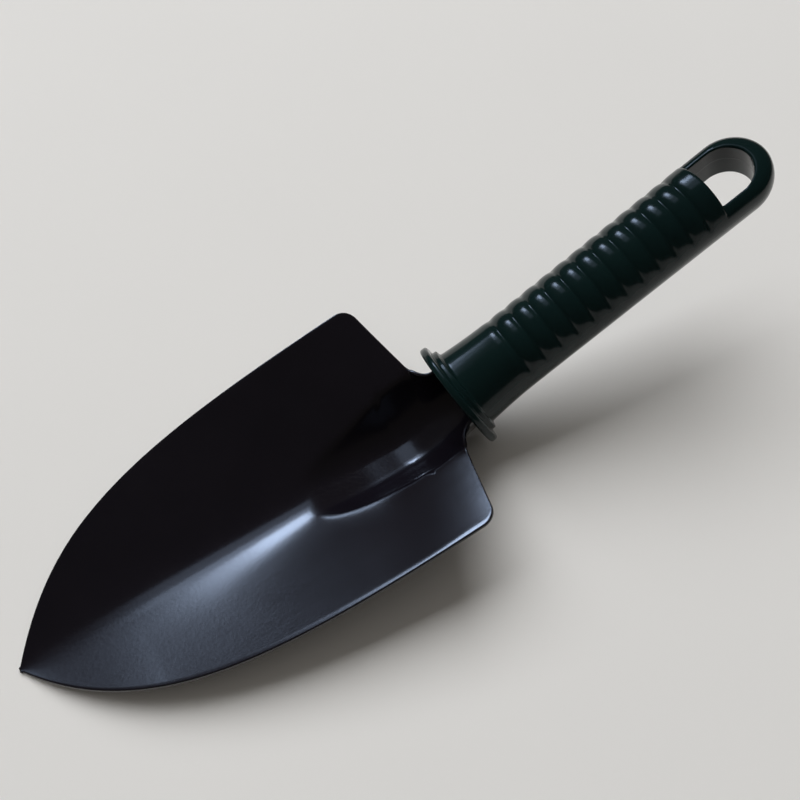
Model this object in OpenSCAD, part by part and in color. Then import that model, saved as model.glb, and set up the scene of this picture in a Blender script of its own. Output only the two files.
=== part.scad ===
// Hand trowel: a blade pressed from one sheet of steel, with a channelled neck and tang,
// and a moulded handle with a guard, grip ribs and a hanging loop.
// The trowel lies as it rests on a table: on its tip and on the heel of its channel.
// +X runs from the tip to the handle, +Z is up, and the plane Y = 0 is its plane of symmetry.

/* [Blade] */
// Distance from the tip to the shoulder corners
shoulder_x = 142.3; // [120:0.1:170]
// Width across the shoulders
blade_w = 89.6; // [70:0.2:108]
// Thickness of the pressed sheet
sheet_t = 1.2; // [0.8:0.1:1.5]
// Length over which the nose gains most of its width
nose_reach = 32; // [26:1:40]
// Width of the blunted tip
tip_w = 1.6; // [1:0.1:3]
// Radius of the shoulder corners
corner_r = 6; // [3:0.5:10]
// Distance that the rear edge sweeps back from the corners to the neck
rear_sweep = 9.1; // [5:0.1:12]
// Height of the rim at the shoulders
rim_h = 27; // [21:0.5:32]
// Height at which the straight line of the rim would pass over the tip
rim_h_tip = 2.9; // [2:0.1:4]
// Height of the keel where the channel begins
keel_h = 3; // [2:0.1:4]
// How much the rounding of the keel lifts it out of the sharp fold
keel_soft = 3; // [2:0.1:4]

/* [Channel and neck] */
// Distance from the start of the channel to the shoulders
channel_l = 38.3; // [32:0.1:46]
// Length of the ramp at the start of the channel
channel_ramp = 20; // [14:1:26]
// Width of the channel's flat floor
floor_w = 5; // [3:0.5:7]
// Radius at which the channel's flanks curve up
flank_r = 6.7; // [5.5:0.1:8]
// Softness of the crease between the channel and the wings
crease_soft = 0.5; // [0.4:0.1:0.9]
// Distance from where the wings climb beside the channel to the shoulders
climb_l = 21.3; // [18:0.1:28]
// Distance from the heel, where the channel turns up to the handle, to the shoulders
heel_back = 3.1; // [1:0.1:6]
// Radius of the bend at the heel
heel_r = 30; // [15:1:40]
// Angle of the handle above the table
handle_tilt = 21.5; // [15:0.5:26]
// Distance along the handle from the heel to the guard
neck_l = 23.3; // [20:0.1:30]
// Outer radius of the neck
neck_r = 11.9; // [10.5:0.1:12.4]
// Height of the neck's edges above the handle's axis
neck_over = 2.2; // [1:0.1:3]
// Length of the rear edge's turn into the neck
neck_turn = 6.9; // [5:0.1:9]
// Length of the tang inside the handle
tang_l = 45; // [30:1:60]
// Outer radius of the tang at its end
tang_end_r = 8.9; // [7:0.1:10]

/* [Handle] */
// Radius of the guard
guard_r = 18.8; // [16:0.1:22]
// Thickness of the guard
guard_t = 2.6; // [2:0.1:4]
// Radius of the step behind the guard
step_r = 15.6; // [14.8:0.1:16.5]
// Thickness of the step behind the guard
step_t = 1.8; // [1:0.1:3]
// Radius of the handle at the guard
root_r = 13.7; // [13.4:0.1:14.6]
// Radius of the grip
grip_r = 12.7; // [12.2:0.1:14]
// Distance from the guard's face to the narrowest stretch, where the first groove is
plain_l = 23.7; // [18:0.1:30]
// Spacing of the grooves
rib_pitch = 6.25; // [5:0.05:7]
// Number of grooves
rib_count = 12; // [6:1:14]
// Depth of the grooves
groove_d = 0.8; // [0.5:0.1:1]
// Radius of the grooves' section
groove_r = 1.1; // [0.9:0.1:1.6]
// Height above the handle's axis at which the grooves end
groove_low = 4.8; // [1:0.2:8]
// Distance from the guard's face to the end of the ribbed body
body_l = 99.4; // [98:0.1:112]
// Clearance round the tang in its slot
slot_gap = 0.15; // [0.1:0.05:0.3]

/* [Hanging loop] */
// Distance from the guard's face to the centre of the handle's round end
end_x = 109.7; // [108:0.1:125]
// Thickness of the loop's sides
loop_wall = 4; // [3:0.1:5]
// Thickness of the loop's end
loop_end_wall = 6.2; // [4:0.1:7]
// Height of the loop's top face above the handle's axis
loop_top = 6.65; // [4:0.05:9]
// Depth of the loop's bottom face below the handle's axis
loop_bottom = 8.8; // [6:0.1:10]

/* [Hidden] */
$fn = 96;

ROWS_NOSE = 28;
ROWS_CORNER = 5;
ROWS_REAR = 5;
ROWS_TURN = 8;
ROWS_TANG = 6;
COLUMNS = 36;

half_w = blade_w / 2;
channel_x = shoulder_x - channel_l;
climb_x = shoulder_x - climb_l;
heel_x = shoulder_x - heel_back;
neck_ri = neck_r - sheet_t;
tang_end_ri = tang_end_r - sheet_t;

// The handle's axis is one neck radius above the channel's floor behind the heel.
tilt_c = cos(handle_tilt);
tilt_s = sin(handle_tilt);
axis_foot = [heel_x - neck_ri * tilt_s, sheet_t + neck_ri * tilt_c];
guard_at = axis_foot + neck_l * [tilt_c, tilt_s];
handle_l = end_x + grip_r;

// The origin is under the middle of the whole trowel.
overall_l = guard_at.x + end_x * tilt_c + grip_r;
to_origin = [-overall_l / 2, 0, 0];

// ---- outline of the blade, one half, seen from above ----

rear_turn = atan2(half_w - neck_ri, rear_sweep);
corner_start = shoulder_x - corner_r * tan(rear_turn / 2);

// The rear edge turns into the neck on a curve that ends just before the guard.
end_gap = 0.2;
neck_edge_y = sqrt(neck_ri * neck_ri - neck_over * neck_over);
neck_corner = [shoulder_x + rear_sweep, neck_edge_y];
turn_from = neck_corner + neck_turn * [-cos(rear_turn), sin(rear_turn)];
turn_to = [edge_x(neck_l) - end_gap, neck_edge_y];
function turn_point(k) = pow(1 - k, 2) * turn_from + 2 * k * (1 - k) * neck_corner + k * k * turn_to;

function nose_half(x) = half_w * (1 - exp(-x / nose_reach)) / (1 - exp(-corner_start / nose_reach));

// The rows close up towards the tip, where the outline curves most.
function nose_x(i) = corner_start * (0.35 * i / ROWS_NOSE + 0.65 * pow(i / ROWS_NOSE, 2));

corner_points = [for (i = [1:ROWS_CORNER]) let (a = rear_turn * i / ROWS_CORNER)
    [corner_start + corner_r * sin(a), half_w - corner_r * (1 - cos(a))]];
rear_from = corner_points[ROWS_CORNER - 1];

outline = concat(
    [for (i = [0:ROWS_NOSE]) let (x = nose_x(i)) [x, max(tip_w / 2, nose_half(x))]],
    corner_points,
    [for (i = [1:ROWS_REAR - 1]) rear_from + (turn_from - rear_from) * i / ROWS_REAR]);

// ---- height of the sheet's upper face above the inside of the heel ----

climb_soft = 6;
keel_soft_x = 12;
slope_x = 1.2 * nose_reach;
heel_start = heel_x - heel_r * tan(handle_tilt / 2);
heel_end = heel_x + heel_r * tan(handle_tilt / 2) * tilt_c;
ramp_end = channel_x + channel_ramp;

function softness(x) = keel_soft * x / (x + keel_soft_x);
function ease_up(d, soft) = (d + sqrt(d * d + soft * soft)) / 2;
function root_z(x) = keel_h * min(x, channel_x) / channel_x - softness(x)
    + tan(handle_tilt) * ease_up(x - climb_x, climb_soft);
function rim_z(x) = rim_h_tip + (rim_h - rim_h_tip) * x / shoulder_x;
function wing_slope(x) = let (at = max(x, slope_x)) (rim_z(at) - root_z(at)) / nose_half(at);
function wing_z(x, y) = root_z(x) + norm([softness(x), wing_slope(x) * y]);

function floor_z(x) =
    x < ramp_end ? keel_h * pow((ramp_end - x) / channel_ramp, 2) :
    x < heel_start ? 0 :
    x < heel_end ? heel_r - sqrt(heel_r * heel_r - pow(x - heel_start, 2)) :
    (x - heel_x) * tan(handle_tilt);
function channel_z(x, y) = floor_z(x) + pow(max(0, abs(y) - floor_w / 2), 2) / (2 * flank_r);

// The sheet follows the lower of the two, with a soft crease where they cross.
function lower_of(a, b, soft) = (a + b - norm([a - b, 2 * soft])) / 2;
function sheet_z(x, y) = lower_of(wing_z(x, y), channel_z(x, y), crease_soft);

// ---- rows of points on the upper face; u runs from -1 to 1 across the sheet ----

function mix(a, b, k) = a + (b - a) * k;
function smooth(k) = let (c = min(1, max(0, k))) c * c * (3 - 2 * c);
function across(x, u) = mix(0.5 * u + 0.5 * pow(u, 3), sin(90 * u), smooth((x - heel_start) / 15));

function blade_point(x, w, u) = let (y = w * across(x, u)) [x, y, sheet_t + sheet_z(x, y)];

// The neck and tang are part of a tube about the handle's axis; s is measured from the heel.
function tube_r(s) = mix(neck_ri, tang_end_ri, max(0, s - neck_l) / tang_l);
function tube_point(s, u) = let (r = tube_r(s), a = u * (90 + asin(neck_over / r)))
    [axis_foot.x + s * tilt_c + r * cos(a) * tilt_s, r * sin(a),
     axis_foot.y + s * tilt_s - r * cos(a) * tilt_c];
function edge_x(s) = axis_foot.x + s * tilt_c - neck_over * tilt_s;
function edge_z(s) = axis_foot.y + s * tilt_s + neck_over * tilt_c;
function s_of_edge(x) = (x - edge_x(0)) / tilt_c;
neck_s = s_of_edge(turn_to.x);
tang_s = neck_l + tang_l;

// Through the turn the blade's section is raised until its edge meets the neck's edge.
function turn_row(k) =
    let (p = turn_point(k), s = s_of_edge(p.x),
         bottom = blade_point(p.x, p.y, 0).z,
         top = mix(blade_point(turn_from.x, turn_from.y, 1).z, edge_z(neck_s), k),
         raise = (top - bottom) / (blade_point(p.x, p.y, 1).z - bottom),
         spread = p.y / tube_point(s, 1).y)
    [for (u = across_all) let (b = blade_point(p.x, p.y, u), t = tube_point(s, u))
        mix([b.x, b.y, bottom + (b.z - bottom) * raise], [t.x, t.y * spread, t.z], smooth(k))];

across_all = [for (j = [0:COLUMNS]) 2 * j / COLUMNS - 1];
upper = concat(
    [for (p = outline) [for (u = across_all) blade_point(p.x, p.y, u)]],
    [for (i = [0:ROWS_TURN]) turn_row(i / ROWS_TURN)],
    [for (i = [1:ROWS_TANG]) [for (u = across_all) tube_point(mix(neck_s, tang_s, i / ROWS_TANG), u)]]);

last_row = len(upper) - 1;
function face_normal(i, j) =
    let (along = upper[min(i + 1, last_row)][j] - upper[max(i - 1, 0)][j],
         over = upper[i][min(j + 1, COLUMNS)] - upper[i][max(j - 1, 0)],
         n = cross(along, over))
    n / norm(n);
lower = [for (i = [0:last_row]) [for (j = [0:COLUMNS]) upper[i][j] - sheet_t * face_normal(i, j)]];

module blade() {
    wide = COLUMNS + 1;
    below = (last_row + 1) * wide;
    points = [for (rows = [upper, lower]) for (r = rows) for (p = r) p];
    function at(i, j) = i * wide + j;
    faces = concat(
        [for (i = [0:last_row - 1]) for (j = [0:COLUMNS - 1])
            each [[at(i, j), at(i, j + 1), at(i + 1, j + 1)], [at(i, j), at(i + 1, j + 1), at(i + 1, j)]]],
        [for (i = [0:last_row - 1]) for (j = [0:COLUMNS - 1]) each
            [[below + at(i, j), below + at(i + 1, j + 1), below + at(i, j + 1)],
             [below + at(i, j), below + at(i + 1, j), below + at(i + 1, j + 1)]]],
        [for (i = [0:last_row - 1]) for (side = [0, 1])
            let (a = at(i, side * COLUMNS), b = at(i + 1, side * COLUMNS))
            each side == 0 ? [[a, b, below + b], [a, below + b, below + a]]
                           : [[b, a, below + a], [b, below + a, below + b]]],
        [for (j = [0:COLUMNS - 1]) for (end = [0, 1])
            let (a = at(end * last_row, j), b = at(end * last_row, j + 1))
            each end == 1 ? [[a, b, below + b], [a, below + b, below + a]]
                          : [[b, a, below + a], [b, below + a, below + b]]]);
    color("#17141d")
        translate(to_origin)
            polyhedron(points, faces);
}

// ---- handle; on its axis +Z runs away from the guard's face and +X is up ----

module on_handle_axis() {
    translate(to_origin + [guard_at.x, 0, guard_at.y])
        rotate([0, 90 - handle_tilt, 0])
            rotate([0, 0, 180])
                children();
}

module turned_body() {
    bevel = 0.5;
    rotate_extrude()
        polygon([
            [0, 0], [guard_r - bevel, 0], [guard_r, bevel],
            [guard_r, guard_t - bevel], [guard_r - bevel, guard_t],
            [step_r, guard_t], [step_r, guard_t + step_t], [root_r, guard_t + step_t],
            [grip_r, plain_l], [grip_r, end_x], [0, end_x]]);
    translate([0, 0, end_x])
        sphere(r = grip_r);
}

// Grooves over the upper part only, so that the sides and the underside of the grip stay smooth
module grooves() {
    intersection() {
        for (i = [0:rib_count - 1])
            translate([0, 0, plain_l + i * rib_pitch])
                rotate_extrude()
                    translate([grip_r - groove_d + groove_r, 0])
                        circle(r = groove_r, $fn = 32);
        translate([groove_low, -grip_r * 2, 0])
            cube([grip_r * 2, grip_r * 4, end_x]);
    }
}

module tang_cone(offset_r) {
    translate([0, 0, -1])
        cylinder(h = 1, r = neck_r + offset_r);
    cylinder(h = tang_l + slot_gap, r1 = neck_r + offset_r, r2 = tang_end_r + offset_r);
}

module tang_slot() {
    difference() {
        tang_cone(slot_gap);
        tang_cone(-sheet_t - slot_gap);
        translate([neck_over + slot_gap, -grip_r * 2, -2])
            cube([grip_r * 2, grip_r * 4, tang_l + 4]);
    }
}

module loop_cuts() {
    hole_r = grip_r - loop_wall;
    hole_end = handle_l - loop_end_wall - hole_r;
    translate([loop_top, -grip_r * 2, body_l])
        cube([grip_r, grip_r * 4, handle_l]);
    translate([-loop_bottom - grip_r, -grip_r * 2, body_l])
        cube([grip_r, grip_r * 4, handle_l]);
    translate([-grip_r * 2, -hole_r, body_l])
        cube([grip_r * 4, hole_r * 2, hole_end - body_l]);
    translate([-grip_r * 2, 0, hole_end])
        rotate([0, 90, 0])
            cylinder(h = grip_r * 4, r = hole_r);
}

module handle() {
    color("#0d2422")
        on_handle_axis()
            difference() {
                turned_body();
                grooves();
                tang_slot();
                loop_cuts();
            }
}

blade();
handle();
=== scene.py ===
"""Hand trowel: a pressed, painted steel blade and a moulded plastic handle with a hanging eye.

Sizes are worked in millimetres, in the same frame as the solid model, and turned to metres when a
piece is made. +X runs from the tip to the handle, +Z is up, and Y = 0 is the plane of symmetry.
"""

import math

import bmesh
import bpy
import numpy as np
from mathutils import Matrix, Vector


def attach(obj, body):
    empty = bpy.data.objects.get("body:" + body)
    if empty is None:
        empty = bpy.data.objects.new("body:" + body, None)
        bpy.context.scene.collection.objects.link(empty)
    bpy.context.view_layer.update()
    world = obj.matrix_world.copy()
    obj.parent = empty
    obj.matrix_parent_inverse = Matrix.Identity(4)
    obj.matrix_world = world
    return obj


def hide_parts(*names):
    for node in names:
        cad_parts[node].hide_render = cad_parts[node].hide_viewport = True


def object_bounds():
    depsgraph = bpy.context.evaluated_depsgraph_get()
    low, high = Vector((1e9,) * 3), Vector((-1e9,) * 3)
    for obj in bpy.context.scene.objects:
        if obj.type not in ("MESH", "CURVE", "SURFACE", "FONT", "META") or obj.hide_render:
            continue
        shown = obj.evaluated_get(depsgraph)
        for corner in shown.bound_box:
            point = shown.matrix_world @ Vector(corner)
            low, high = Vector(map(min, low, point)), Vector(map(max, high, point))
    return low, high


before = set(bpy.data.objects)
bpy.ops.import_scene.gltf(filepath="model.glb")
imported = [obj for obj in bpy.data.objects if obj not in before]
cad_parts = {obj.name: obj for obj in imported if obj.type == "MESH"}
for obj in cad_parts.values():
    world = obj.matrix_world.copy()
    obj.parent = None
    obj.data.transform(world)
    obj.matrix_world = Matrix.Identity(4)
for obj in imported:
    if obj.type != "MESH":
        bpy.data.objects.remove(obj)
SOLID_BOX = [list(corner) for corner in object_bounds()]

MM = 0.001

# ---------------------------------------------------------------- sizes of the trowel, millimetres

SHOULDER_X = 142.3
BLADE_W = 89.6
SHEET_T = 1.2
NOSE_REACH = 32.0
TIP_W = 1.6
CORNER_R = 6.0
REAR_SWEEP = 9.1
RIM_H = 27.0
RIM_H_TIP = 2.9
KEEL_H = 3.0
KEEL_SOFT = 3.0

CHANNEL_X = 104.0
CHANNEL_RAMP = 20.0
FLOOR_W = 5.0
FLANK_R = 6.7
CREASE_SOFT = 0.5
CLIMB_X = 121.0
CLIMB_SOFT = 6.0
HEEL_X = 139.2
HEEL_R = 30.0
HANDLE_TILT = math.radians(21.5)
NECK_L = 23.3
NECK_R = 11.9
NECK_OVER = 2.2
NECK_TURN = 6.9
END_GAP = 0.2
TANG_L = 45.0
TANG_END_R = 8.9

GUARD_R = 18.8
GUARD_T = 2.6
STEP_R = 15.6
STEP_T = 1.8
ROOT_R = 13.7
GRIP_R = 12.7
PLAIN_L = 23.7
RIB_PITCH = 6.25
RIB_COUNT = 12
GROOVE_D = 0.8
BODY_L = 99.4
END_X = 109.7
LOOP_WALL = 4.0
LOOP_END_WALL = 6.2
LOOP_TOP = 6.65
LOOP_BOTTOM = 8.8
SLOT_GAP = 0.15

RIM_ROUND = 0.4  # rounding of the sheet's cut edges
NOSE_SOFT_X = 12.0  # length over which the keel's rounding grows from the tip
LOOP_OUTER_ROUND = 3.4  # rounding of the strap's upper outer edge
LOOP_LOWER_ROUND = 1.0
LOOP_EYE_ROUND = 0.6

HALF_W = BLADE_W / 2
NECK_RI = NECK_R - SHEET_T
TANG_END_RI = TANG_END_R - SHEET_T
TILT_C, TILT_S = math.cos(HANDLE_TILT), math.sin(HANDLE_TILT)
FOOT_X = HEEL_X - NECK_RI * TILT_S
FOOT_Z = SHEET_T + NECK_RI * TILT_C
GUARD_X = FOOT_X + NECK_L * TILT_C
GUARD_Z = FOOT_Z + NECK_L * TILT_S
OVERALL_L = GUARD_X + END_X * TILT_C + GRIP_R
ORIGIN_X = OVERALL_L / 2

HEEL_START = HEEL_X - HEEL_R * math.tan(HANDLE_TILT / 2)
REAR_TURN = math.atan2(HALF_W - NECK_RI, REAR_SWEEP)
CORNER_START = SHOULDER_X - CORNER_R * math.tan(REAR_TURN / 2)
NECK_EDGE_Y = math.sqrt(NECK_RI**2 - NECK_OVER**2)
NECK_CORNER = np.array([SHOULDER_X + REAR_SWEEP, NECK_EDGE_Y])
TURN_FROM = NECK_CORNER + NECK_TURN * np.array([-math.cos(REAR_TURN), math.sin(REAR_TURN)])
TURN_TO = np.array([GUARD_X - NECK_OVER * TILT_S - END_GAP, NECK_EDGE_Y])


# ---------------------------------------------------------------- expressions that build nodes


class Value:
    """A number socket of a node tree; arithmetic on it adds Math nodes."""

    def __init__(self, bench, socket):
        self.bench, self.socket = bench, socket

    def math(self, operation, *others):
        made = self.bench.add("ShaderNodeMath", {"operation": operation}, *[self, *others])
        return Value(self.bench, made.outputs[0])

    def __add__(self, other):
        return self.math("ADD", other)

    __radd__ = __add__

    def __mul__(self, other):
        return self.math("MULTIPLY", other)

    __rmul__ = __mul__

    def __sub__(self, other):
        return self.math("SUBTRACT", other)

    def __rsub__(self, other):
        return (self * -1.0) + other

    def __truediv__(self, other):
        return self.math("DIVIDE", other)

    def __rtruediv__(self, other):
        return self.math("POWER", -1.0) * other

    def __pow__(self, other):
        return self.math("POWER", other)

    def __abs__(self):
        return self.math("ABSOLUTE")

    def sqrt(self):
        return self.math("SQRT")


class Bench:
    """Adds nodes to one tree."""

    def __init__(self, tree):
        self.tree = tree

    def add(self, kind, settings, *values, **named):
        """A node of that kind; its settings come first, then the values or links of its sockets."""
        made = self.tree.nodes.new(kind)
        for name, setting in settings.items():
            setattr(made, name, setting)
        filled = list(zip(range(len(values)), values)) + list(named.items())
        for key, value in filled:
            socket = made.inputs[key if isinstance(key, int) else key.replace("_", " ")]
            if isinstance(value, Value):
                self.tree.links.new(value.socket, socket)
            elif isinstance(value, bpy.types.NodeSocket):
                self.tree.links.new(value, socket)
            elif value is not None:
                socket.default_value = value
        return made

    def value(self, kind, settings, output, *values, **named):
        return Value(self, self.add(kind, settings, *values, **named).outputs[output])


def ramp01(value, low, high):
    """0 below low, 1 above high, and a smooth rise between them."""
    k = ((value - low) / (high - low)).math("MAXIMUM", 0.0).math("MINIMUM", 1.0)
    return k * k * (3.0 - 2.0 * k)


def length2(a, b):
    return (a * a + b * b).sqrt()


def blend(a, b, k):
    return a + (b - a) * k


# ---------------------------------------------------------------- meshes


def new_mesh_object(name, points, faces):
    """An object at the origin whose points are given in millimetres from the tip."""
    mesh = bpy.data.meshes.new(name)
    mesh.from_pydata(np.asarray(points, float).tolist(), [], [list(map(int, f)) for f in faces])
    mesh.validate()
    obj = bpy.data.objects.new(name, mesh)
    bpy.context.scene.collection.objects.link(obj)
    return obj


def points_of(mesh):
    flat = np.empty(len(mesh.vertices) * 3)
    mesh.vertices.foreach_get("co", flat)
    return flat.reshape(-1, 3)


def geometry_tree(name, inputs):
    """A Geometry Nodes tree with a geometry socket and named number inputs."""
    tree = bpy.data.node_groups.new(name, "GeometryNodeTree")
    tree.interface.new_socket("Geometry", in_out="INPUT", socket_type="NodeSocketGeometry")
    for label in inputs:
        tree.interface.new_socket(label, in_out="INPUT", socket_type="NodeSocketFloat")
    tree.interface.new_socket("Material", in_out="INPUT", socket_type="NodeSocketMaterial")
    tree.interface.new_socket("Geometry", in_out="OUTPUT", socket_type="NodeSocketGeometry")
    bench = Bench(tree)
    source = bench.add("NodeGroupInput", {})
    return tree, bench, source


def close_tree(bench, source, geometry):
    """Ends a tree in Realize Instances and Set Material."""
    real = bench.add("GeometryNodeRealizeInstances", {}, Geometry=geometry)
    painted = bench.add(
        "GeometryNodeSetMaterial", {}, Geometry=real.outputs[0], Material=source.outputs["Material"]
    )
    bench.add("NodeGroupOutput", {}, painted.outputs[0])


def shaped(obj, tree, inputs, material):
    """The plain mesh that the tree makes of the object, as a new object of the same name."""
    modifier = obj.modifiers.new(tree.name, "NODES")
    modifier.node_group = tree
    sockets = {
        item.name: item.identifier
        for item in tree.interface.items_tree
        if item.item_type == "SOCKET" and item.in_out == "INPUT"
    }
    for label, number in inputs.items():
        modifier[sockets[label]] = number
    modifier[sockets["Material"]] = material
    bpy.context.view_layer.update()
    evaluated = obj.evaluated_get(bpy.context.evaluated_depsgraph_get())
    mesh = bpy.data.meshes.new_from_object(evaluated)
    name = obj.name
    blank = obj.data
    bpy.data.objects.remove(obj)
    bpy.data.meshes.remove(blank)
    mesh.name = name
    made = bpy.data.objects.new(name, mesh)
    bpy.context.scene.collection.objects.link(made)
    return made


def to_metres(mesh):
    mesh.transform(Matrix.Translation((-ORIGIN_X * MM, 0, 0)) @ Matrix.Scale(MM, 4))


# ---------------------------------------------------------------- materials


def begin_material(name):
    material = bpy.data.materials.new(name)
    material.use_nodes = True
    tree = material.node_tree
    tree.nodes.clear()
    bench = Bench(tree)
    shader = bench.add("ShaderNodeBsdfPrincipled", {})
    bench.add("ShaderNodeOutputMaterial", {}, Surface=shader.outputs[0])
    place = bench.add("ShaderNodeTexCoord", {}).outputs["Object"]
    return material, bench, shader, place


def noise(bench, place, scale, detail, roughness=0.5, stretch=(1, 1, 1)):
    """Noise between 0 and 1; scale is in features per metre."""
    moved = bench.add("ShaderNodeMapping", {}, Vector=place, Scale=stretch).outputs[0]
    return bench.value(
        "ShaderNodeTexNoise", {}, 0, Vector=moved, Scale=scale, Detail=detail, Roughness=roughness
    )


def tint(bench, mask, base, other):
    """A colour between base and other."""
    return bench.add(
        "ShaderNodeMix", {"data_type": "RGBA"}, mask, None, None, None, None, None,
        (*base, 1.0), (*other, 1.0),
    ).outputs[2]


def bumped(bench, height, strength, distance):
    return bench.add(
        "ShaderNodeBump", {}, Strength=strength, Distance=distance, Height=height
    ).outputs[0]


def blade_paint():
    """Black gloss paint over pressed steel: slight orange peel, drawn marks, dust and dull patches."""
    material, bench, shader, place = begin_material("blade_paint")
    clouds = noise(bench, place, 55, 3)
    peel = noise(bench, place, 900, 2, 0.4)
    drawn = noise(bench, place, 160, 4, 0.6, stretch=(0.25, 2.2, 1.0))
    specks = ramp01(noise(bench, place, 1900, 1), 0.70, 0.78)
    colour = tint(bench, clouds, (0.0040, 0.0034, 0.0062), (0.0070, 0.0058, 0.0092))
    dusty = bench.add(
        "ShaderNodeMix", {"data_type": "RGBA"}, specks * 0.12, None, None, None, None, None,
        colour, (0.05, 0.048, 0.05, 1.0),
    ).outputs[2]
    rough = 0.14 + clouds * 0.05 + drawn * 0.03 + specks * 0.08
    bench.tree.links.new(dusty, shader.inputs["Base Color"])
    bench.tree.links.new(rough.socket, shader.inputs["Roughness"])
    height = peel * 0.25 + drawn * 0.3
    bench.tree.links.new(bumped(bench, height.socket, 0.18, 0.0003), shader.inputs["Normal"])
    shader.inputs["IOR"].default_value = 1.52
    shader.inputs["Coat Weight"].default_value = 0.25
    shader.inputs["Coat Roughness"].default_value = 0.12
    return material


def handle_plastic():
    """Very dark green gloss plastic: mould marks, a parting seam and light scuffs from use."""
    material, bench, shader, place = begin_material("handle_plastic")
    split = bench.add("ShaderNodeSeparateXYZ", {}, place)
    x, y, z = (Value(bench, split.outputs[i]) for i in range(3))
    guard_x, guard_z = (GUARD_X - ORIGIN_X) * MM, GUARD_Z * MM
    above = (z - guard_z) * TILT_C - (x - guard_x) * TILT_S
    clouds = noise(bench, place, 70, 3)
    grain = noise(bench, place, 2200, 3, 0.55)
    scuffs = ramp01(noise(bench, place, 260, 5, 0.7, stretch=(0.5, 2.5, 1.5)), 0.56, 0.74)
    seam = 1.0 - ramp01(abs(above), 0.00006, 0.00022)
    colour = tint(bench, clouds, (0.0030, 0.0098, 0.0104), (0.0046, 0.0150, 0.0150))
    rough = 0.11 + clouds * 0.05 + scuffs * 0.08 + grain * 0.03
    bench.tree.links.new(colour, shader.inputs["Base Color"])
    bench.tree.links.new(rough.socket, shader.inputs["Roughness"])
    height = grain * 0.16 + seam * 0.55 + clouds * 0.9
    bench.tree.links.new(bumped(bench, height.socket, 0.25, 0.00025), shader.inputs["Normal"])
    shader.inputs["IOR"].default_value = 1.31
    return material


def floor_finish():
    material, bench, shader, place = begin_material("pale_table")
    clouds = noise(bench, place, 6, 3)
    colour = tint(bench, clouds, (0.835, 0.832, 0.822), (0.80, 0.797, 0.787))
    bench.tree.links.new(colour, shader.inputs["Base Color"])
    shader.inputs["Roughness"].default_value = 0.85
    shader.inputs["Specular IOR Level"].default_value = 0.2
    return material


# ---------------------------------------------------------------- blade

ROWS_NOSE, ROWS_CORNER, ROWS_REAR, ROWS_TURN, ROWS_TANG = 110, 14, 14, 26, 60
COLUMNS = 110


def smooth01(k):
    k = np.clip(k, 0, 1)
    return k * k * (3 - 2 * k)


def blank_outline():
    """The edge of the sheet seen from above, as rows of x, half width and share of the turn done."""
    full = 1 - math.exp(-CORNER_START / NOSE_REACH)
    rows = []
    for i in range(ROWS_NOSE + 1):
        t = i / ROWS_NOSE
        x = CORNER_START * (0.35 * t + 0.65 * t * t)
        rows.append((x, max(TIP_W / 2, HALF_W * (1 - math.exp(-x / NOSE_REACH)) / full), 0))
    for i in range(1, ROWS_CORNER + 1):
        a = REAR_TURN * i / ROWS_CORNER
        rows.append(
            (CORNER_START + CORNER_R * math.sin(a), HALF_W - CORNER_R * (1 - math.cos(a)), 0)
        )
    start = np.array(rows[-1][:2])
    for i in range(1, ROWS_REAR):
        rows.append((*(start + (TURN_FROM - start) * i / ROWS_REAR), 0))
    for i in range(ROWS_TURN + 1):
        k = i / ROWS_TURN
        at = (1 - k) ** 2 * TURN_FROM + 2 * k * (1 - k) * NECK_CORNER + k * k * TURN_TO
        rows.append((*at, k))
    return np.array(rows)


def edge_x(s):
    """Where the neck's edge is over the table, for a distance s along the handle's axis."""
    return FOOT_X - NECK_OVER * TILT_S + s * TILT_C


def blade_blank():
    """The flat blank before it is pressed, a grid of rows across the sheet."""
    rows = blank_outline()
    along = np.gradient(rows[:, :2], axis=0)
    out = np.stack([-along[:, 1], along[:, 0]], 1)
    out /= np.linalg.norm(out, axis=1)[:, None]
    inner = rows.copy()
    inner[:, :2] -= RIM_ROUND * out * (1 - smooth01(rows[:, 2:]))
    inner[0, :2] = (RIM_ROUND, TIP_W / 2 - RIM_ROUND / 2)
    inner[:, 0] = np.maximum.accumulate(inner[:, 0])
    neck_s = (TURN_TO[0] - edge_x(0)) / TILT_C
    last_s = NECK_L + TANG_L - RIM_ROUND
    tang = [
        (edge_x(neck_s + (last_s - neck_s) * i / ROWS_TANG), NECK_EDGE_Y, 1)
        for i in range(1, ROWS_TANG + 1)
    ]
    inner = np.vstack([inner, tang])
    share = np.linspace(-1, 1, COLUMNS + 1)
    points = []
    for x, w, _ in inner:
        k = smooth01((x - HEEL_START) / 15)
        over = (0.5 * share + 0.5 * share**3) * (1 - k) + np.sin(share * math.pi / 2) * k
        points.append(np.stack([np.full_like(share, x), w * over, np.zeros_like(share)], 1))
    wide = COLUMNS + 1
    faces = [
        (i * wide + j, (i + 1) * wide + j, (i + 1) * wide + j + 1, i * wide + j + 1)
        for i in range(len(inner) - 1)
        for j in range(COLUMNS)
    ]
    blank = new_mesh_object("blade", np.concatenate(points), faces)
    marks = {
        "across": np.tile(share, len(inner)),
        "reach": np.repeat(inner[:, 1], wide),
        "turn": np.repeat(inner[:, 2], wide),
    }
    for label, numbers in marks.items():
        attribute = blank.data.attributes.new(label, "FLOAT", "POINT")
        attribute.data.foreach_set("value", numbers.astype(np.float32))
    return blank, len(inner)


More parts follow.
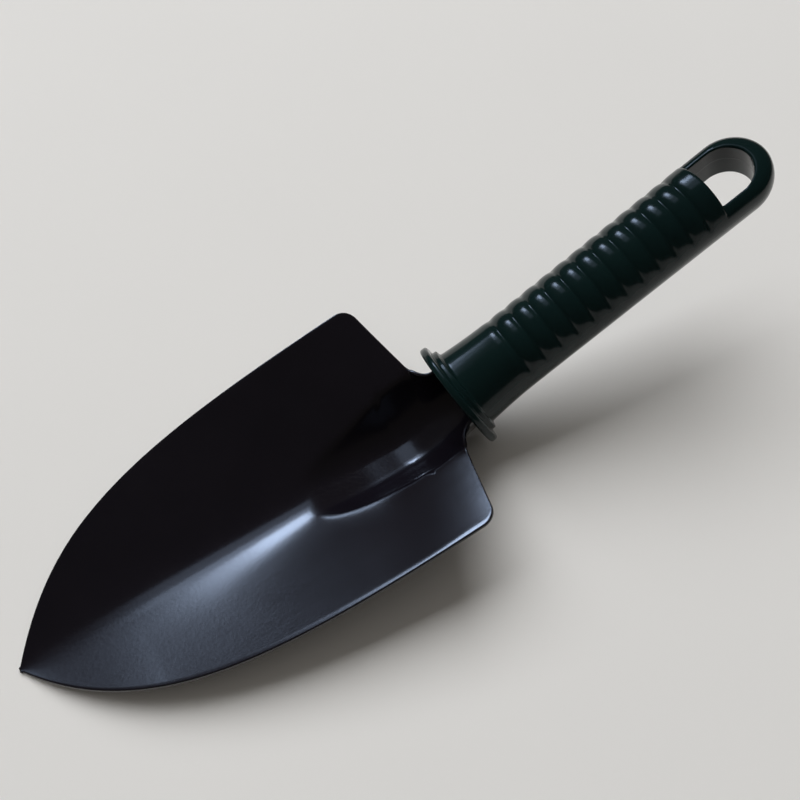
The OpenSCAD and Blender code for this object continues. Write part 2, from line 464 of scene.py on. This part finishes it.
PRESS = {
    "Shoulder": SHOULDER_X,
    "Half width": HALF_W,
    "Nose reach": NOSE_REACH,
    "Nose full share": 1 - math.exp(-CORNER_START / NOSE_REACH),
    "Rim height": RIM_H,
    "Rim height at tip": RIM_H_TIP,
    "Keel height": KEEL_H,
    "Keel softness": KEEL_SOFT,
    "Channel start": CHANNEL_X,
    "Channel ramp": CHANNEL_RAMP,
    "Floor width": FLOOR_W,
    "Flank radius": FLANK_R,
    "Crease softness": CREASE_SOFT,
    "Climb start": CLIMB_X,
    "Climb softness": CLIMB_SOFT,
    "Heel": HEEL_X,
    "Heel radius": HEEL_R,
    "Handle tilt": HANDLE_TILT,
    "Neck radius": NECK_RI,
    "Neck over axis": NECK_OVER - RIM_ROUND,
    "Neck length": NECK_L,
    "Tang length": TANG_L,
    "Tang end radius": TANG_END_RI,
    "Turn start x": TURN_FROM[0] - RIM_ROUND * math.sin(REAR_TURN),
    "Turn start reach": TURN_FROM[1] - RIM_ROUND * math.cos(REAR_TURN),
    "Neck edge z": GUARD_Z + (NECK_OVER - RIM_ROUND) * TILT_C - END_GAP * TILT_S / TILT_C,
    "Sheet": SHEET_T,
}


def press_tree():
    """The press: it gives the flat blank its dish, its channel, the bend at the heel and the neck."""
    tree, bench, source = geometry_tree("Press", PRESS)
    of = {label: Value(bench, source.outputs[label]) for label in PRESS}
    place = bench.add("GeometryNodeInputPosition", {})
    split = bench.add("ShaderNodeSeparateXYZ", {}, place.outputs[0])
    x, y = Value(bench, split.outputs[0]), Value(bench, split.outputs[1])

    def mark(label):
        kind = "GeometryNodeInputNamedAttribute"
        return bench.value(kind, {"data_type": "FLOAT"}, "Attribute", label)

    share, reach, turn = mark("across"), mark("reach"), mark("turn")
    cos_tilt, sin_tilt = of["Handle tilt"].math("COSINE"), of["Handle tilt"].math("SINE")
    slope = sin_tilt / cos_tilt

    def root(at):
        soft = of["Keel softness"] * at / (at + NOSE_SOFT_X)
        climb = at - of["Climb start"]
        rise = (climb + length2(climb, of["Climb softness"])) * 0.5
        keel = of["Keel height"] * at.math("MINIMUM", of["Channel start"]) / of["Channel start"]
        return keel - soft + slope * rise, soft

    def height(at, side):
        """Height of the pressed sheet's upper face, and of the middle of the channel."""
        full_at = at.math("MAXIMUM", of["Nose reach"] * 1.2)
        half = of["Half width"] * (1.0 - (full_at * -1.0 / of["Nose reach"]).math("EXPONENT"))
        half = half / of["Nose full share"]
        rim = of["Rim height"] - of["Rim height at tip"]
        rim = of["Rim height at tip"] + rim * full_at / of["Shoulder"]
        wing_slope = (rim - root(full_at)[0]) / half
        root_here, soft_here = root(at)
        wing = root_here + length2(soft_here, wing_slope * side)

        half_bend = of["Heel radius"] * (of["Handle tilt"] * 0.5).math("TANGENT")
        bend = (at - (of["Heel"] - half_bend)).math("MAXIMUM", 0.0)
        bend = bend.math("MINIMUM", of["Heel radius"] * sin_tilt)
        heel = of["Heel radius"] - (of["Heel radius"] ** 2.0 - bend * bend).sqrt()
        beyond = (at - (of["Heel"] + half_bend * cos_tilt)).math("MAXIMUM", 0.0)
        ramp = of["Channel start"] + of["Channel ramp"] - at
        ramp = ramp.math("MAXIMUM", 0.0) / of["Channel ramp"]
        middle = of["Keel height"] * ramp * ramp + heel + beyond * slope
        flank = (abs(side) - of["Floor width"] * 0.5).math("MAXIMUM", 0.0)
        channel = middle + flank * flank / (of["Flank radius"] * 2.0)

        gap = wing - channel
        sheet = (wing + channel - length2(gap, of["Crease softness"] * 2.0)) * 0.5
        return sheet + of["Sheet"], middle + of["Sheet"]

    pressed_z, bottom = height(x, y)
    edge_here, _ = height(x, reach)
    edge_start, _ = height(of["Turn start x"], of["Turn start reach"])
    top = blend(edge_start, of["Neck edge z"], turn)
    in_turn = turn.math("GREATER_THAN", 0.0)
    lift = 1.0 + in_turn * ((top - bottom) / (edge_here - bottom) - 1.0)
    raised_z = bottom + (pressed_z - bottom) * lift

    foot_x = of["Heel"] - of["Neck radius"] * sin_tilt
    foot_z = of["Sheet"] + of["Neck radius"] * cos_tilt
    s = (x - foot_x + (of["Neck over axis"] + RIM_ROUND) * sin_tilt) / cos_tilt
    taper = (s - of["Neck length"]).math("MAXIMUM", 0.0) / of["Tang length"]
    radius = blend(of["Neck radius"], of["Tang end radius"], taper)
    widest = (of["Neck over axis"] / radius).math("ARCSINE") + math.pi / 2
    angle = share * widest
    drop = radius * angle.math("COSINE")
    in_tang = turn.math("GREATER_THAN", 0.9999)
    spread = reach / (radius * widest.math("SINE"))
    spread = blend(spread, 1.0, in_tang)
    tube_x = foot_x + s * cos_tilt + drop * sin_tilt
    tube_y = radius * angle.math("SINE") * spread
    tube_z = foot_z + s * sin_tilt - drop * cos_tilt

    k = turn * turn * (3.0 - 2.0 * turn)
    formed = bench.add(
        "ShaderNodeCombineXYZ", {}, blend(x, tube_x, k), blend(y, tube_y, k),
        blend(raised_z, tube_z, k),
    )
    moved = bench.add(
        "GeometryNodeSetPosition", {}, Geometry=source.outputs["Geometry"],
        Position=formed.outputs[0],
    )
    close_tree(bench, source, moved.outputs[0])
    return tree


def thickened(name, upper):
    """The closed sheet under a grid of points on its upper face, with rounded edges."""
    along = np.gradient(upper, axis=0)
    over = np.gradient(upper, axis=1)
    normal = np.cross(along, over)
    normal /= np.linalg.norm(normal, axis=2)[:, :, None]
    lower = upper - SHEET_T * normal
    rows, wide = upper.shape[:2]
    loop = [(0, j) for j in range(wide)]
    loop += [(i, wide - 1) for i in range(1, rows)]
    loop += [(rows - 1, j) for j in range(wide - 2, -1, -1)]
    loop += [(i, 0) for i in range(rows - 2, 0, -1)]
    edge = np.array([upper[p] for p in loop])
    face = np.array([normal[p] for p in loop])
    run = np.roll(edge, -1, 0) - np.roll(edge, 1, 0)
    out = np.cross(run, face)
    out /= np.linalg.norm(out, axis=1)[:, None]
    inward = edge[len(loop) // 8] - upper[rows // 3, wide // 2]
    if np.dot(out[len(loop) // 8], inward) < 0:
        out = -out
    points = [upper.reshape(-1, 3), lower.reshape(-1, 3)]
    grid = rows * wide
    rings = []
    turns = [math.radians(a) for a in (30, 60, 90)]
    levels = [(math.sin(a), RIM_ROUND * (1 - math.cos(a))) for a in turns]
    levels += [(math.sin(a), SHEET_T - RIM_ROUND * (1 - math.cos(a))) for a in reversed(turns)]
    for push, deep in levels:
        rings.append(sum(len(p) for p in points) + np.arange(len(loop)))
        points.append(edge + RIM_ROUND * push * out - deep * face)
    at = np.arange(grid).reshape(rows, wide)
    faces = []
    a, b, c, d = at[:-1, :-1], at[1:, :-1], at[1:, 1:], at[:-1, 1:]
    quads = np.stack([a, b, c, d], -1).reshape(-1, 4)
    faces += quads.tolist()
    faces += (quads[:, ::-1] + grid).tolist()
    ring_up = np.array([at[p] for p in loop])
    chain = [ring_up, *rings, ring_up + grid]
    for one, two in zip(chain[:-1], chain[1:]):
        nxt_one, nxt_two = np.roll(one, -1), np.roll(two, -1)
        faces += np.stack([one, nxt_one, nxt_two, two], -1).tolist()
    return new_mesh_object(name, np.concatenate(points), faces)


def outward(mesh):
    """Turns every face outwards."""
    work = bmesh.new()
    work.from_mesh(mesh)
    bmesh.ops.remove_doubles(work, verts=work.verts, dist=1e-7)
    bmesh.ops.recalc_face_normals(work, faces=work.faces)
    work.to_mesh(mesh)
    work.free()


def make_blade(material):
    blank, rows = blade_blank()
    formed = shaped(blank, press_tree(), PRESS, material)
    upper = points_of(formed.data).reshape(rows, COLUMNS + 1, 3)
    sheet = formed.data
    bpy.data.objects.remove(formed)
    bpy.data.meshes.remove(sheet)
    blade = thickened("blade_pressing", upper)
    to_metres(blade.data)
    # the finer mesh dips a hair below the solid under the heel
    rested = points_of(blade.data)
    rested[:, 2] = np.maximum(rested[:, 2], SOLID_BOX[0][2])
    blade.data.vertices.foreach_set("co", rested.ravel())
    outward(blade.data)
    blade.data.shade_smooth()
    blade.data.materials.append(material)
    return blade


# ---------------------------------------------------------------- handle

CELL = 0.45  # spacing of the grid that the moulding is measured on


def soft_union(a, b, soft):
    k = np.clip(0.5 + 0.5 * (b - a) / soft, 0, 1)
    return b + (a - b) * k - soft * k * (1 - k)


def round_cut(a, b, radius):
    """Where both solids are, with the edge between them rounded."""
    corner = np.hypot(np.maximum(a + radius, 0), np.maximum(b + radius, 0)) - radius
    return np.where((a > -radius) & (b > -radius), corner, np.maximum(a, b))


def disc(out, s, radius, low, high, edge):
    """Distance to a round plate across the axis with a rounded edge."""
    return round_cut(round_cut(out - radius, s - high, edge), low - s, edge)


def handle_distance(up, y, s):
    """Roughly the distance to the moulding's surface without its ribs, below 0 inside it.

    up, y and s are measured in the handle's own frame; s runs along its axis from the guard's face.
    """
    out = np.hypot(up, y)
    taper = np.clip((s - GUARD_T - STEP_T) / (PLAIN_L - GUARD_T - STEP_T), 0, 1)
    taper = 1 - (1 - taper) ** 2
    shaft = round_cut(out - (ROOT_R + (GRIP_R - ROOT_R) * taper), s - BODY_L, 1.0)
    shaft = np.maximum(shaft, -s)
    guard = disc(out, s, GUARD_R, 0, GUARD_T, 0.9)
    step = disc(out, s, STEP_R, 0, GUARD_T + STEP_T, 0.6)
    body = soft_union(soft_union(guard, step, 0.7), shaft, 0.9)

    hole_r = GRIP_R - LOOP_WALL
    hole_s = END_X + GRIP_R - LOOP_END_WALL - hole_r
    skin = np.hypot(np.maximum(s - END_X, 0), out) - GRIP_R
    hole = np.hypot(y, np.maximum(s - hole_s, 0)) - hole_r
    hole = np.maximum(hole, BODY_L - 3 - s)
    ring = round_cut(skin, up - LOOP_TOP, LOOP_OUTER_ROUND)
    ring = round_cut(ring, -LOOP_BOTTOM - up, LOOP_LOWER_ROUND)
    ring = round_cut(ring, -hole, LOOP_EYE_ROUND)
    ring = np.maximum(ring, BODY_L - 2 - s)
    inner = np.clip((GRIP_R - out) / 1.5 - 0.2, 0, 1)
    whole = soft_union(body, ring, 0.02 + 1.2 * inner)

    tang_r = NECK_R + (TANG_END_R - NECK_R) * np.clip(s, 0, TANG_L) / TANG_L
    slot = np.abs(out - tang_r + SHEET_T / 2) - SHEET_T / 2 - SLOT_GAP
    slot = np.maximum(slot, up - NECK_OVER - SLOT_GAP)
    slot = np.maximum(slot, s - TANG_L - SLOT_GAP)
    return np.maximum(whole, -slot)


def net_over(distance, low, high, cell):
    """Points and four-sided faces over the surface where distance is 0."""
    axes = [np.arange(a, b + cell, cell) for a, b in zip(low, high)]
    grid = np.meshgrid(*axes, indexing="ij")
    field = distance(*grid)
    inside = field < 0
    shape = tuple(n - 1 for n in field.shape)
    total = np.zeros(shape + (3,), np.float32)
    count = np.zeros(shape, np.int8)
    span = [slice(0, -1), slice(1, None)]
    for axis in range(3):
        others = [a for a in range(3) if a != axis]
        for one in (0, 1):
            for two in (0, 1):
                pick = [None, None, None]
                pick[others[0]], pick[others[1]] = span[one], span[two]
                pick[axis] = span[0]
                near = field[tuple(pick)]
                pick[axis] = span[1]
                far = field[tuple(pick)]
                cut = (near < 0) != (far < 0)
                t = np.where(cut, near / np.where(near == far, 1, near - far), 0)
                count += cut
                total[..., axis] += t
                total[..., others[0]] += cut * one
                total[..., others[1]] += cut * two
    live = count > 0
    index = -np.ones(shape, np.int64)
    index[live] = np.arange(live.sum())
    base = np.stack(np.nonzero(live), 1)
    points = (base + total[live] / count[live][:, None]) * cell + np.array(low)
    faces = []
    for axis in range(3):
        one, two = [(1, 2), (2, 0), (0, 1)][axis]
        pick = [slice(1, -1)] * 3
        pick[axis] = slice(0, -1)
        near = inside[tuple(pick)]
        pick[axis] = slice(1, None)
        far = inside[tuple(pick)]
        for crossing, turn in ((near & ~far, False), (~near & far, True)):
            at = np.stack(np.nonzero(crossing), 1)
            at[:, one] += 1
            at[:, two] += 1
            corner = []
            for d_one, d_two in ((-1, -1), (0, -1), (0, 0), (-1, 0)):
                cell_at = at.copy()
                cell_at[:, one] += d_one
                cell_at[:, two] += d_two
                corner.append(index[tuple(cell_at.T)])
            quad = np.stack(corner, 1)
            faces.append(quad[:, ::-1] if turn else quad)
    return points, np.concatenate(faces)


def drawn_onto(distance, points, cell):
    """Moves points to where distance is 0."""
    step = cell * 0.05
    for _ in range(4):
        here = distance(*points.T)
        slope = np.empty_like(points)
        for axis in range(3):
            shift = np.zeros(3)
            shift[axis] = step
            slope[:, axis] = (distance(*(points + shift).T) - distance(*(points - shift).T)) / (
                2 * step
            )
        size = np.maximum((slope**2).sum(1), 0.25)
        points = points - np.clip(here / size, -cell, cell)[:, None] * slope
    return points


RIBS = {
    "First groove": PLAIN_L,
    "Pitch": RIB_PITCH,
    "Count": float(RIB_COUNT),
    "Depth": GROOVE_D,
    "Valley softness": 0.3,
    "Run-out height": 2.2,
    "Run-out length": 5.2,
    "Guard x": GUARD_X,
    "Guard z": GUARD_Z,
    "Handle tilt": HANDLE_TILT,
}


def rib_tree():
    """Forms the upper half of the grip into a row of round beads with a narrow valley between them."""
    tree, bench, source = geometry_tree("Grip ribs", RIBS)
    of = {label: Value(bench, source.outputs[label]) for label in RIBS}
    place = bench.add("GeometryNodeInputPosition", {})
    split = bench.add("ShaderNodeSeparateXYZ", {}, place.outputs[0])
    x, y, z = (Value(bench, split.outputs[i]) for i in range(3))
    cos_tilt, sin_tilt = of["Handle tilt"].math("COSINE"), of["Handle tilt"].math("SINE")
    dx, dz = x - of["Guard x"], z - of["Guard z"]
    s = dx * cos_tilt + dz * sin_tilt
    up = dz * cos_tilt - dx * sin_tilt
    out = length2(up, y)
    step = ((s - of["First groove"]) / of["Pitch"]).math("ROUND")
    step = step.math("MAXIMUM", 0.0).math("MINIMUM", of["Count"] - 1.0)
    off = abs(s - of["First groove"] - step * of["Pitch"]) * 2.0 / of["Pitch"]
    flat = 1.0 - off.math("MINIMUM", 1.0)
    soft = of["Valley softness"]
    bead = length2((1.0 - flat * flat).math("MAXIMUM", 0.0).sqrt(), soft) - soft
    wave = 1.0 - bead / (length2(soft, 1.0) - soft)
    upper = ramp01(up, of["Run-out height"], of["Run-out height"] + of["Run-out length"])
    skin = ramp01(out, 11.5, 12.2)
    sink = of["Depth"] * wave * upper * skin * -1.0
    radial_y, radial_up = y / out, up / out
    shift = bench.add(
        "ShaderNodeCombineXYZ", {}, sink * radial_up * sin_tilt * -1.0, sink * radial_y,
        sink * radial_up * cos_tilt,
    )
    moved = bench.add(
        "GeometryNodeSetPosition", {}, Geometry=source.outputs["Geometry"], Offset=shift.outputs[0]
    )
    close_tree(bench, source, moved.outputs[0])
    return tree


def make_handle(material):
    low, high = (-GUARD_R - 1, -GUARD_R - 1, -1), (GUARD_R + 1, GUARD_R + 1, END_X + GRIP_R + 1)
    points, faces = net_over(handle_distance, low, high, CELL)
    points = drawn_onto(handle_distance, points, CELL)
    up, y, s = points.T
    placed = np.stack(
        [GUARD_X + s * TILT_C - up * TILT_S, y, GUARD_Z + s * TILT_S + up * TILT_C], 1
    )
    blank = new_mesh_object("handle_moulding", placed, faces)
    handle = shaped(blank, rib_tree(), RIBS, material)
    to_metres(handle.data)
    outward(handle.data)
    handle.data.shade_smooth()
    return handle


# ---------------------------------------------------------------- table, light and camera


def make_table():
    mesh = bpy.data.meshes.new("table")
    reach = 3.0
    mesh.from_pydata(
        [(-reach, -reach, 0), (reach, -reach, 0), (reach, reach, 0), (-reach, reach, 0)], [],
        [(0, 1, 2, 3)],
    )
    table = bpy.data.objects.new("table", mesh)
    bpy.context.scene.collection.objects.link(table)
    table.data.materials.append(floor_finish())
    return table


def panel(name, azimuth, elevation, wide, high, radiance, colour, distance=4.0):
    """A soft panel of light; azimuth is measured from +Y towards +X, and the angles are in degrees."""
    turn, rise = math.radians(azimuth), math.radians(elevation)
    way = Vector(
        (math.sin(turn) * math.cos(rise), math.cos(turn) * math.cos(rise), math.sin(rise))
    )
    light = bpy.data.lights.new(name, "AREA")
    light.shape = "RECTANGLE"
    light.size = 2 * distance * math.tan(math.radians(wide / 2))
    light.size_y = 2 * distance * math.tan(math.radians(high / 2))
    light.energy = radiance * math.pi * light.size * light.size_y
    light.color = colour
    lamp = bpy.data.objects.new(name, light)
    lamp.location = way * distance
    lamp.rotation_mode = "QUATERNION"
    lamp.rotation_quaternion = way.to_track_quat("Z", "Y")
    bpy.context.scene.collection.objects.link(lamp)
    return lamp


def make_light():
    sky = (0.68, 0.85, 1.16)
    for name, azimuth, elevation, wide, high, radiance in (
        ("window", 1.5, 37.5, 8, 14, 15.0),
        ("window_side", -5.5, 37.5, 6, 14, 5.4),
        ("window_edge", -10.5, 37.5, 4, 14, 1.2),
        ("window_end", -14.5, 37.5, 4, 14, 0.3),
        ("window_top", -3, 50, 17, 11, 3.0),
        ("window_high", -3, 64, 20, 16, 0.9),
    ):
        panel(name, azimuth, elevation, wide, high, radiance, sky).visible_diffuse = False
    daylight = panel("daylight", 5, 54, 62, 42, 3.6, (1.0, 1.0, 1.0))
    daylight.visible_glossy = False
    fill = panel("ceiling", 0, 88, 90, 90, 0.22, (1.0, 0.95, 0.88))
    fill.visible_glossy = False
    world = bpy.data.worlds.new("room")
    world.use_nodes = True
    background = world.node_tree.nodes["Background"]
    background.inputs["Color"].default_value = (1.0, 0.90, 0.78, 1.0)
    background.inputs["Strength"].default_value = 0.045
    bpy.context.scene.world = world
    bpy.context.scene.view_settings.view_transform = "Standard"


def make_camera():
    camera = bpy.data.cameras.new("camera")
    camera.sensor_width = 36.0
    camera.lens = 41.65
    camera.clip_start = 0.01
    eye = bpy.data.objects.new("camera", camera)
    right = Vector((0.85438696, -0.51711848, -0.05110195))
    up = Vector((0.46721876, 0.7214334, 0.5111169))
    back = -Vector((0.22744134, 0.4605674, -0.85799074))
    turn = Matrix((right, up, back)).transposed().to_4x4()
    eye.matrix_world = Matrix.Translation((-0.062911, -0.129531, 0.277338)) @ turn
    bpy.context.scene.collection.objects.link(eye)
    bpy.context.scene.camera = eye


# ---------------------------------------------------------------- assembly

make_camera()
make_table()
make_light()

blade = make_blade(blade_paint())
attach(blade, "root")
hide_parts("blade")

handle = make_handle(handle_plastic())
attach(handle, "root")
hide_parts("handle")
